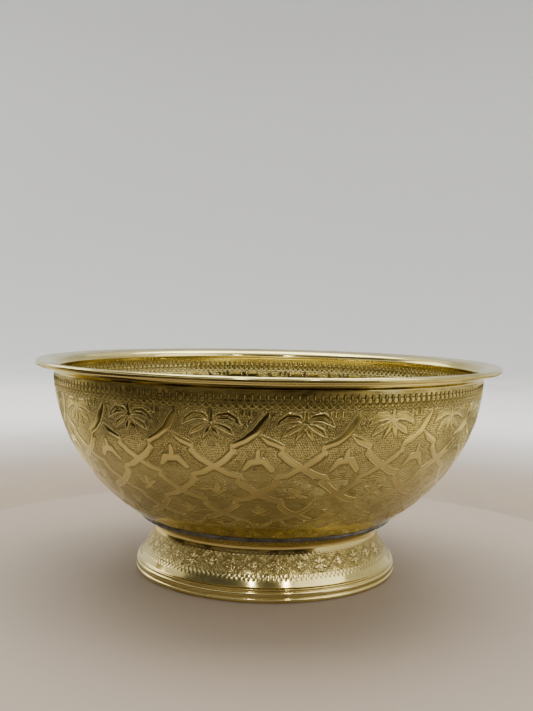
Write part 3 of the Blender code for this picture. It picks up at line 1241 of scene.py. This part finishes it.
def finish_surface(tree, shader, colour, roughness, height):
    """Link colour, roughness and a height in mm to a shader."""
    bump = add(tree, "ShaderNodeBump", {"Height": height, "Strength": 1.0, "Distance": MM})
    feed(tree, shader, {"Normal": bump.outputs["Normal"], "Base Color": colour, "Roughness": roughness})


def chased_brass(name, bright, deep, around, pitch, punch, swirl_top):
    """Return chased brass: bright straps, punched ground, dark cuts, spun rings and tarnish."""
    material, tree, shader = new_material(name, BRASS_POLISH)
    c, tones = chasing(), colours()
    ground, border, edge = stored(tree, "ground"), stored(tree, "border"), stored(tree, "edge")
    bead = fading(tree, stored(tree, "bead"), 0.15, 0.65)
    burr = fading(tree, maths(tree, "ABSOLUTE", edge), 0.05, 0.42)
    marks = place_group(tree, "punch_marks", {
        "Around": around, "Down": stored(tree, "down"), "Pitch": pitch, "Ground": ground,
        "Swirl Top": swirl_top})
    outline = place_group(tree, "chased_line", {
        "Distance": minus(tree, edge, EDGE_CUT_AWAY), "Half Width": 0.24})
    line = place_group(tree, "chased_line", {"Distance": stored(tree, "line"), "Half Width": 0.30})
    tongues = place_group(tree, "tongue_border", {
        "Tongues": float(c.tongues), "Pitch": math.tau * sizes().belly_radius / MM / c.tongues})
    spun = place_group(tree, "spun_polish", {"Fineness": 2.0})
    tarnish = place_group(tree, "tarnish", {"Size": 0.045})

    # What the marks leave bright, and what they leave dark
    ridge = largest(tree, times(tree, tongues["Shine"], border), bead)
    shine = largest(tree, ridge, burr)
    firm = rest_of(tree, times(tree, marks["Lower"], 0.65))
    cut = largest(tree, times(tree, outline["Cut"], firm), line["Cut"], stored(tree, "tongue"),
                  times(tree, tongues["Cut"], border))
    shade = largest(tree, times(tree, cut, CUT_PATINA), times(tree, marks["Pit"], PIT_PATINA))
    dull = maths(tree, "ADD", times(tree, tarnish["Cloud"], 0.6), times(tree, ground, firm, 0.3), clamp=True)
    colour = blend_colour(tree, times(tree, dull, rest_of(tree, shine)), bright, deep)
    colour = blend_colour(tree, shade, colour, tones.patina)
    colour = blend_colour(tree, stored(tree, "tin"), colour, tones.solder)
    roughness = plus(tree, times(tree, ground, 0.10), BRASS_POLISH, times(tree, cut, 0.18),
                     times(tree, ridge, 0.26), times(tree, tarnish["Bloom"], 0.05))
    height = plus(
        tree, times(tree, marks["Height"], punch), times(tree, burr, BURR_HEIGHT),
        times(tree, outline["Height"], firm, EDGE_HEIGHT), times(tree, line["Height"], LINE_HEIGHT),
        times(tree, tongues["Height"], border, BORDER_HEIGHT), times(tree, bead, BEAD_HEIGHT),
        times(tree, spun["Height"], SPUN_HEIGHT))
    finish_surface(tree, shader, colour, roughness, height)
    return material


def plain_metal(name, bright, shade, polish, grain):
    """Return a dull or drawn metal, clouded with a darker shade of itself: solder and wire."""
    material, tree, shader = new_material(name, polish)
    tarnish = place_group(tree, "tarnish", {"Size": 0.012})
    spun = place_group(tree, "spun_polish", {"Fineness": 3.0})
    colour = blend_colour(tree, tarnish["Cloud"], bright, [shade * v for v in bright])
    roughness = plus(tree, times(tree, tarnish["Bloom"], 0.18), polish)
    height = plus(tree, times(tree, tarnish["Bloom"], grain), times(tree, spun["Height"], 0.01))
    finish_surface(tree, shader, colour, roughness, height)
    return material


# ---------------------------------------------------------------- studio

# The floor's flat radius, the rise of its edge, and the backdrop above, in metres
FLOOR_FLAT = 2.0
FLOOR_RISE = 0.9
BACKDROP_HEIGHT = 1.0
# Where the painted reflection ring starts, where its painted reflection wall stands, and how tall that is,
# in metres
RING_INNER = 0.26
REFLECTION_WALL_RADIUS = 1.9
REFLECTION_WALL_HEIGHT = 0.8
# Lamps: name, place, (width, depth), power in watts, colour
NEUTRAL = (1.0, 1.0, 1.0)
WARM = (1.0, 0.98, 0.95)
LAMP_TARGET = (0.0, 0.0, 0.08)
LAMPS = (
    ("top_softbox", (0.0, 0.4, 1.8), (1.8, 1.2), 42.0, NEUTRAL),
    ("right_softbox", (1.25, -0.75, 1.2), (1.3, 1.0), 7.0, WARM),
    ("left_softbox", (-1.5, 0.9, 1.0), (1.1, 0.8), 7.0, WARM),
    ("left_lamp", (-0.28, -1.14, 1.15), (0.08, 0.16), 1.6, WARM),
    ("right_lamp", (0.46, -1.06, 1.15), (0.08, 0.16), 1.6, WARM),
)
# The camera's place, its focal length in mm, and its turns in degrees
CAMERA_PLACE = (0.0, -0.5988, 0.1736)
CAMERA_LENS = 45.09
CAMERA_TILT = 3.1234
CAMERA_ROLL = 1.187
CAMERA_YAW = 0.1662


def turned_stage(name, profile, material, angle=360.0, steps=96):
    """Return a stage object turned from a profile about Z."""
    mesh = bpy.data.meshes.new(name)
    edges = [(i, i + 1) for i in range(len(profile) - 1)]
    mesh.from_pydata([(r, 0.0, z) for r, z in profile], edges, [])
    mesh.materials.append(material)
    made = bpy.data.objects.new(name, mesh)
    bpy.context.scene.collection.objects.link(made)
    turn = made.modifiers.new("turn", "SCREW")
    turn.angle = math.radians(angle)
    turn.steps = turn.render_steps = steps
    turn.use_merge_vertices = angle == 360.0
    turn.merge_threshold = 0.0001
    turn.use_smooth_shade = True
    return made


def stage_place(tree):
    """Return the place in the studio."""
    return add(tree, "ShaderNodeNewGeometry").outputs["Position"]


def from_axis(tree):
    """Return the level distance from the axis."""
    flat = add(tree, "ShaderNodeVectorMath", {0: stage_place(tree), 1: (1.0, 1.0, 0.0)},
               operation="MULTIPLY")
    length = add(tree, "ShaderNodeVectorMath", {0: flat.outputs[0]}, operation="LENGTH")
    return length.outputs["Value"]


def build_floor():
    """Build the pale floor: a wide disc whose edge turns up into a low backdrop."""
    profile = [(0.0, 0.0), (0.6, 0.0), (FLOOR_FLAT, 0.0)]
    for turn in np.radians(np.arange(10, 91, 10)):
        profile.append((FLOOR_FLAT + FLOOR_RISE * math.sin(turn), FLOOR_RISE - FLOOR_RISE * math.cos(turn)))
    profile.append((FLOOR_FLAT + FLOOR_RISE, FLOOR_RISE + BACKDROP_HEIGHT))
    material, tree, shader = new_material("floor_paint", 0.6, 0.0)
    far = ramp(tree, from_axis(tree), 0.3, 0.9)
    feed(tree, shader, {"Base Color": blend_colour(tree, far, colours().floor, colours().backdrop)})
    turned_stage("studio_floor", profile, material)


def build_painted_reflection_cards():
    """Build the painted reflections around the bowl: a ring on the floor and a part-way wall that only the
    polished metal sees, painted near black towards the front as painted shade and in warm pale patches
    towards the back and sides as painted light.
    """
    material, tree, shader = new_material("painted_reflection_card", 0.9, 0.0)
    shader.inputs["Specular IOR Level"].default_value = 0.0
    patches = add(tree, "ShaderNodeTexNoise", {"Vector": stage_place(tree), "Scale": 3.4, "Detail": 2.0})
    tone = ramp(tree, patches.outputs["Fac"], 0.45, 0.55)
    place = split(tree, stage_place(tree))
    away = from_axis(tree)
    side = plus(tree, over(tree, place.outputs["Y"], away),
                times(tree, over(tree, place.outputs["X"], away), 0.5))
    aside = ramp(tree, minus(tree, side, times(tree, away, 0.25)), -0.95, 0.1)
    # Painted reflection: near black in front as painted shade, lighter and warmer towards the back and sides
    # as painted light, broken into patches
    dark = blend_colour(tree, aside, (0.012, 0.010, 0.008), (0.14, 0.12, 0.09))
    light = blend_colour(tree, aside, (0.10, 0.08, 0.05), (0.66, 0.57, 0.34))
    feed(tree, shader, {"Base Color": blend_colour(tree, tone, dark, light)})
    ring_profile = [(RING_INNER, 0.001), (REFLECTION_WALL_RADIUS, 0.002)]
    reflection_wall_profile = [(REFLECTION_WALL_RADIUS, 0.0), (REFLECTION_WALL_RADIUS, REFLECTION_WALL_HEIGHT)]
    reflection_cards = (
        turned_stage("painted_reflection_ring", ring_profile, material),
        turned_stage("painted_reflection_wall", reflection_wall_profile, material, 165.0, 44),
    )
    reflection_cards[1].rotation_euler.z = math.radians(-205.0)
    for reflection_card in reflection_cards:
        reflection_card.visible_camera = False
        reflection_card.visible_diffuse = False
        reflection_card.visible_shadow = False


def add_softbox(name, place, size, power, colour):
    """Add a soft area light that faces the bowl."""
    lamp = bpy.data.lights.new(name, "AREA")
    lamp.shape = "RECTANGLE"
    lamp.size, lamp.size_y = size
    lamp.energy = power
    lamp.color = colour
    made = bpy.data.objects.new(name, lamp)
    bpy.context.scene.collection.objects.link(made)
    made.location = place
    aim = Vector(LAMP_TARGET) - Vector(place)
    made.rotation_euler = aim.to_track_quat("-Z", "Y").to_euler()


def build_world():
    """Light the studio from a pale sky that darkens towards the front."""
    world = bpy.data.worlds.new("studio")
    bpy.context.scene.world = world
    world.use_nodes = True
    tree = world.node_tree
    way = split(tree, add(tree, "ShaderNodeTexCoord").outputs["Generated"])
    side = plus(tree, way.outputs["Y"], times(tree, way.outputs["X"], 0.55))
    level = largest(tree, ramp(tree, side, -0.62, 0.35, 0.035, 1.0),
                    ramp(tree, way.outputs["Z"], 0.74, 0.92, 0.0, 0.9))
    level = times(tree, level, ramp(tree, way.outputs["Z"], 0.0, 0.8, 0.75, 1.0))
    sky = blend_colour(tree, level, (0.05, 0.045, 0.04), colours().backdrop)
    feed(tree, tree.nodes["Background"], {"Color": sky, "Strength": 1.28})


def build_camera():
    """Stand the camera in front of the bowl, a little above its rim."""
    camera = bpy.data.cameras.new("camera")
    camera.lens = CAMERA_LENS
    camera.sensor_width = 36.0
    camera.clip_start, camera.clip_end = 0.02, 30.0
    made = bpy.data.objects.new("camera", camera)
    bpy.context.scene.collection.objects.link(made)
    made.location = CAMERA_PLACE
    aim = Euler((math.radians(90.0 - CAMERA_TILT), 0.0, math.radians(CAMERA_YAW)), "XYZ")
    roll = Euler((0.0, 0.0, math.radians(CAMERA_ROLL)), "XYZ")
    made.rotation_euler = (aim.to_matrix() @ roll.to_matrix()).to_euler()
    bpy.context.scene.camera = made


# ---------------------------------------------------------------- operators


class BOWL_OT_bowl(bpy.types.Operator):
    """Make the chased bowl"""

    bl_idname = "brass_bowl.make_bowl"
    bl_label = "Chased bowl"

    def execute(self, context):
        tones = colours()
        build_bowl(chased_brass(
            "bowl_brass", tones.brass, tones.deep_brass,
            around=650.0, pitch=1.35, punch=0.60, swirl_top=0.088))
        return {"FINISHED"}


class BOWL_OT_foot(bpy.types.Operator):
    """Make the chased foot"""

    bl_idname = "brass_bowl.make_foot"
    bl_label = "Chased foot"

    def execute(self, context):
        tones = colours()
        build_foot(chased_brass(
            "foot_brass", tones.foot_brass, tones.deep_foot_brass,
            around=440.0, pitch=1.15, punch=0.30, swirl_top=0.0))
        return {"FINISHED"}


class BOWL_OT_solder(bpy.types.Operator):
    """Make the run of solder"""

    bl_idname = "brass_bowl.make_solder"
    bl_label = "Solder run"

    def execute(self, context):
        build_solder(plain_metal("solder", colours().solder, shade=0.5, polish=0.34, grain=0.09))
        return {"FINISHED"}


class BOWL_OT_wires(bpy.types.Operator):
    """Give the two edge wires their drawn steel"""

    bl_idname = "brass_bowl.finish_wires"
    bl_label = "Edge wires"

    def execute(self, context):
        steel = plain_metal("drawn_steel", colours().steel, shade=0.6, polish=0.35, grain=0.01)
        for node in ("lip_wire", "hem_wire"):
            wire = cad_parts[node]
            for held in wire.material_slots:
                held.material = steel
        return {"FINISHED"}


class BOWL_OT_stage(bpy.types.Operator):
    """Make the floor, the lights and the camera"""

    bl_idname = "brass_bowl.make_stage"
    bl_label = "Studio"

    def execute(self, context):
        build_floor()
        build_painted_reflection_cards()
        build_world()
        for lamp in LAMPS:
            add_softbox(*lamp)
        build_camera()
        return {"FINISHED"}


class BOWL_PT_panel(bpy.types.Panel):
    """Buttons for the bowl's pieces"""

    bl_idname = "BOWL_PT_panel"
    bl_label = "Footed Brass Bowl"
    bl_space_type = "VIEW_3D"
    bl_region_type = "UI"
    bl_category = "Brass Bowl"

    def draw(self, context):
        for operator in OPERATORS:
            self.layout.operator(operator.bl_idname)
        for held in (context.scene.bowl_sizes, context.scene.bowl_chasing, context.scene.bowl_colours):
            box = self.layout.box()
            for key in held.__annotations__:
                box.prop(held, key)


OPERATORS = (BOWL_OT_bowl, BOWL_OT_foot, BOWL_OT_solder, BOWL_OT_wires, BOWL_OT_stage)
CLASSES = (BOWL_PG_sizes, BOWL_PG_chasing, BOWL_PG_colours, *OPERATORS, BOWL_PT_panel)


def register():
    """Register the classes and hang the settings on the scene."""
    for held in CLASSES:
        bpy.utils.register_class(held)
    bpy.types.Scene.bowl_sizes = bpy.props.PointerProperty(type=BOWL_PG_sizes)
    bpy.types.Scene.bowl_chasing = bpy.props.PointerProperty(type=BOWL_PG_chasing)
    bpy.types.Scene.bowl_colours = bpy.props.PointerProperty(type=BOWL_PG_colours)


def unregister():
    """Take the settings and the classes away again."""
    del bpy.types.Scene.bowl_sizes
    del bpy.types.Scene.bowl_chasing
    del bpy.types.Scene.bowl_colours
    for held in reversed(CLASSES):
        bpy.utils.unregister_class(held)


def main():
    """Register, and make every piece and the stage."""
    register()
    bpy.ops.brass_bowl.make_bowl()
    bpy.ops.brass_bowl.make_foot()
    bpy.ops.brass_bowl.make_solder()
    bpy.ops.brass_bowl.finish_wires()
    bpy.ops.brass_bowl.make_stage()
    bpy.context.view_layer.update()


if __name__ == "__main__":
    main()
